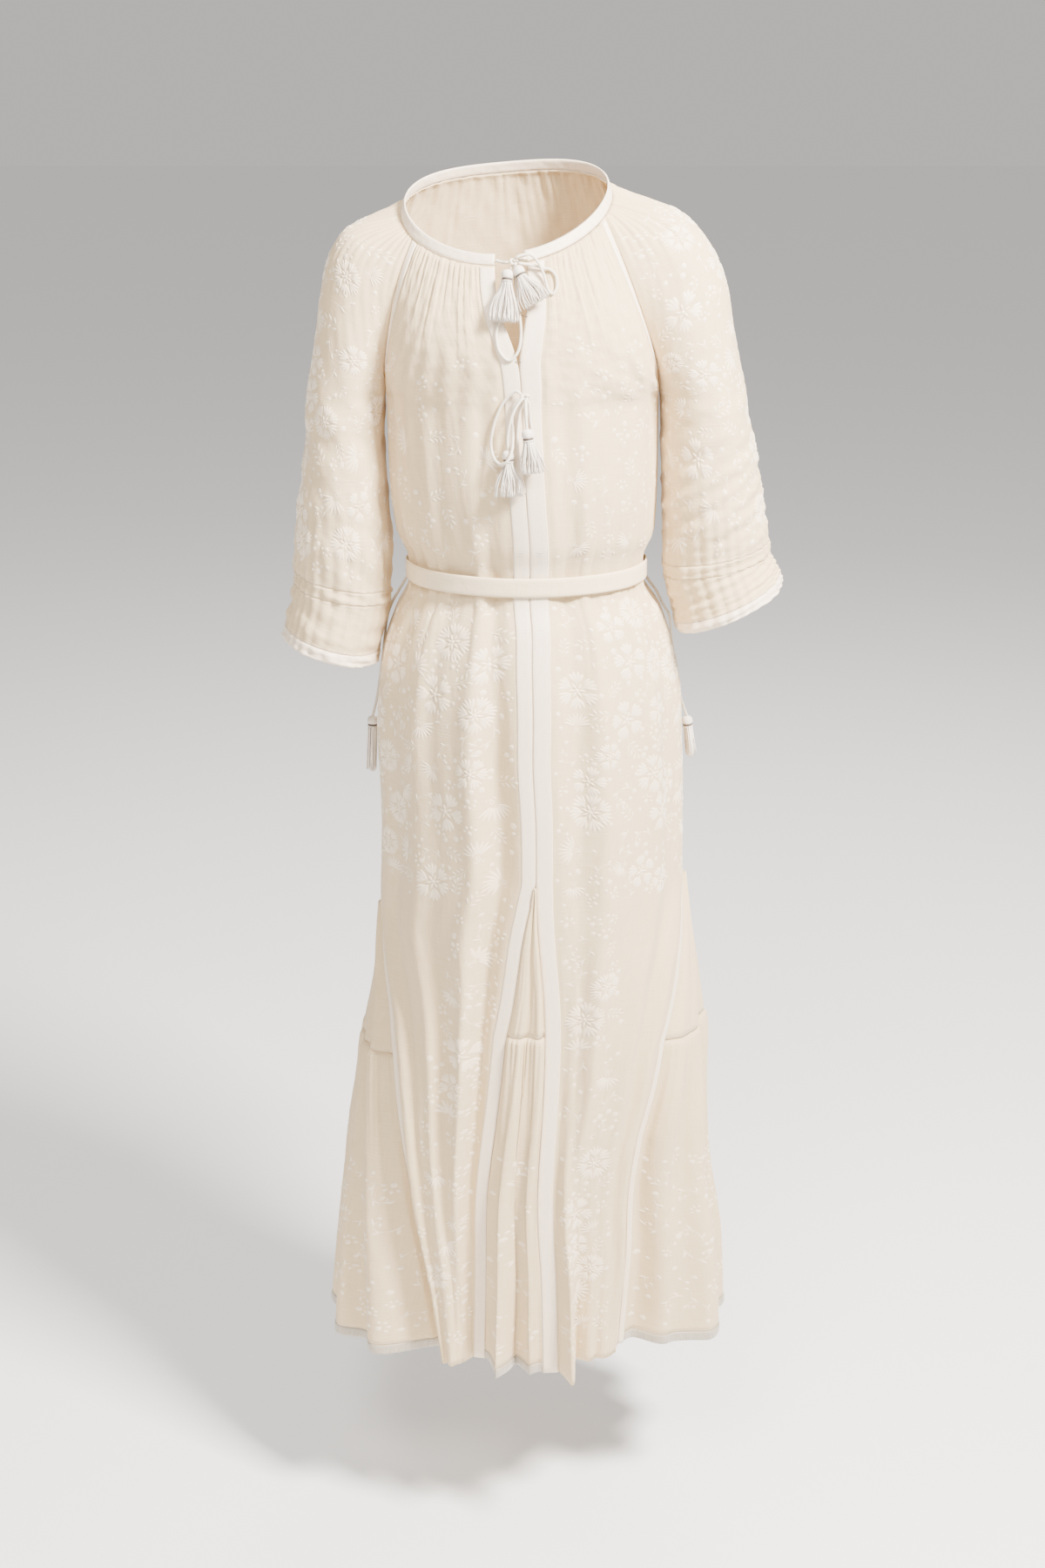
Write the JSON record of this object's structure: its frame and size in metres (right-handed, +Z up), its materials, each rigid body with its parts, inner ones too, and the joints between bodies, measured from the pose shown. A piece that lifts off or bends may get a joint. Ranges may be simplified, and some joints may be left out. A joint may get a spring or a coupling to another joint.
{
  "type": "maxi dress",
  "caption": "Long-sleeved linen maxi dress with embroidered raglan sleeves, tasselled ties at neck and chest, tasselled belt and tiered godets",
  "frame": {"origin": "midway between the shoulders, where the wearer carries the dress", "axes": "+Z up, the dress's front faces -Y, +X is on the viewer's right when looking at the front"},
  "size_m": [0.5262, 0.356, 1.3015],
  "materials": {
    "linen": "ivory semi-sheer linen weave, matte",
    "trim": "lilac-white satin-faced linen, soft sheen",
    "satin": "grey-beige satin binding, soft sheen",
    "belt": "woven band, matte",
    "cord": "twisted cotton cord, matte",
    "tassel": "silky thread tassels with brown thread binding"
  },
  "bodies": {
    "root": {"front_left": "linen", "front_right": "linen", "back": "linen", "sleeve_left": "linen", "sleeve_right": "linen", "sleeve_casing_left": "linen", "sleeve_casing_right": "linen", "cuff_left": "linen", "cuff_right": "linen", "cuff_trim_left": "trim", "cuff_trim_right": "trim", "godet_front_upper": "linen", "godet_front_lower": "linen", "godet_front_binding": "satin", "godet_left_upper": "linen", "godet_left_lower": "linen", "godet_left_binding": "satin", "godet_right_upper": "linen", "godet_right_lower": "linen", "godet_right_binding": "satin", "placket_left": "trim", "placket_right": "trim", "raglan_trim_left": "trim", "raglan_trim_right": "trim", "seam_trim_left": "trim", "seam_trim_right": "trim", "neckband": "trim", "belt": "belt", "belt_cord_left": "cord", "belt_cord_right": "cord", "belt_tassel_left": "tassel", "belt_tassel_right": "tassel", "neck_knot": "cord", "neck_lead_left": "cord", "neck_lead_right": "cord", "neck_loop_left": "cord", "neck_loop_right": "cord", "neck_tassel_left": "tassel", "neck_tassel_right": "tassel", "chest_knot": "cord", "chest_loop_left": "cord", "chest_loop_right": "cord", "chest_tail_left": "cord", "chest_tail_right": "cord", "chest_tassel_left": "tassel", "chest_tassel_right": "tassel"}
  },
  "joints": []
}
